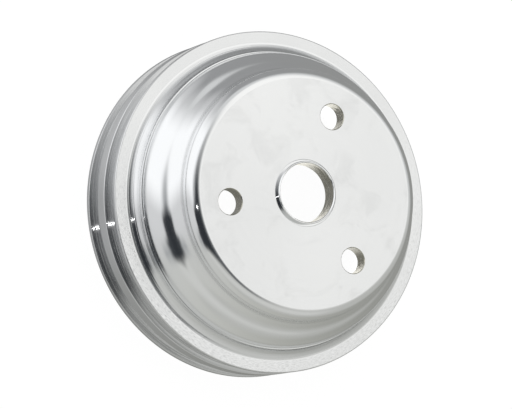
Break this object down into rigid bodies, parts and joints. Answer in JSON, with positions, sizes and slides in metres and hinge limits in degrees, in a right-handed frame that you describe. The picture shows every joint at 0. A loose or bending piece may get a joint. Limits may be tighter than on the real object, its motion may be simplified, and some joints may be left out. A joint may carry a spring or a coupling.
{
  "type": "belt pulley",
  "caption": "V-belt crankshaft pulley turned from aluminium: a deep bell with a flat bolt-on hub face, a pilot lip round the bore and a grooved rim.",
  "frame": {"origin": "centre of the rim's rear face, on the shaft axis", "axes": "+Z along the shaft axis from the rim's rear face to the hub face; one bolt hole lies on -Y"},
  "size_m": [0.1588, 0.1588, 0.0678],
  "materials": {
    "polished_aluminium": "polished, fine turned"
  },
  "bodies": {
    "root": {"pulley": "polished_aluminium"}
  },
  "joints": []
}
